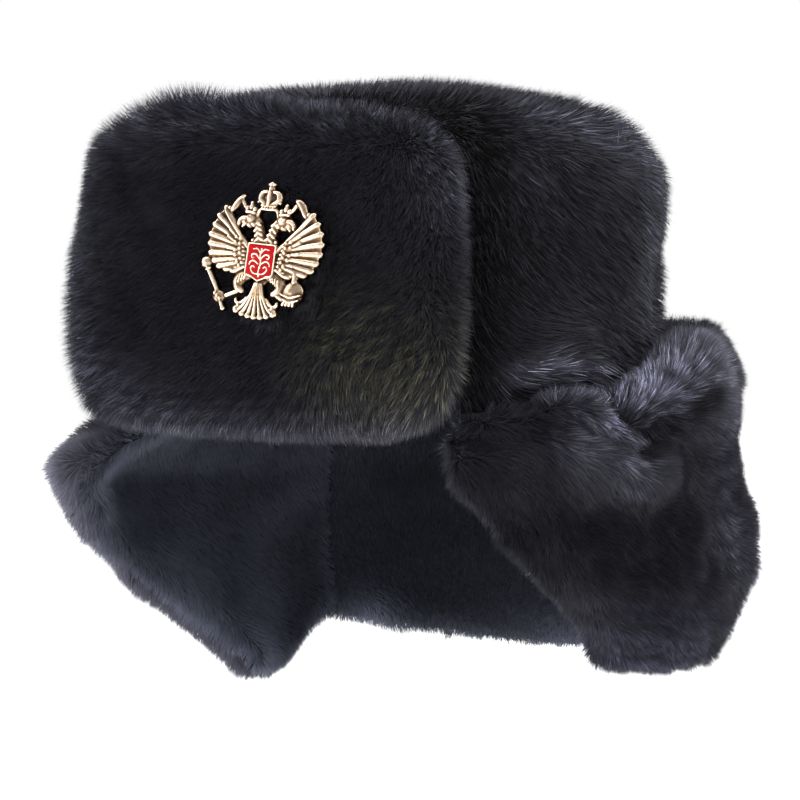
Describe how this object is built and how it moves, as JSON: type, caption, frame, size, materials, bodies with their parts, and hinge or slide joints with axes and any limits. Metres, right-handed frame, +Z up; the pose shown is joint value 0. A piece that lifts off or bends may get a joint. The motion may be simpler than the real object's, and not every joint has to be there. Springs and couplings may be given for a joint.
{
  "type": "fleece-lined fur winter hat",
  "caption": "Military winter hat in dark plush fur, with a folded-up visor carrying a cast eagle badge, and fleece-lined ear and nape flaps let down round an open head hollow.",
  "frame": {"origin": "centre of the head opening at the level of the crown's rim, where the hat sits on a head", "axes": "+Z up through the crown, -Y the way the wearer looks, +X the wearer's left; millimetres in the source, metres here"},
  "size_m": [0.262, 0.2825, 0.2674],
  "materials": {
    "fur": "deep plush black fur, sheared, with a soft grey sheen where it turns away",
    "fleece": "dense short black fleece, matt",
    "gold": "pale cast gold plating, shiny on its high points",
    "enamel": "glossy red enamel",
    "steel": "plain steel, hidden"
  },
  "bodies": {
    "root": {"crown": "fur", "visor": "fur", "ear_flap_left": "fur", "ear_flap_right": "fur", "nape_flap": "fur", "ear_lining_left": "fleece", "ear_lining_right": "fleece", "nape_lining": "fleece", "badge_eagle": "gold", "badge_shield": "enamel", "badge_pin": "steel"}
  },
  "joints": []
}
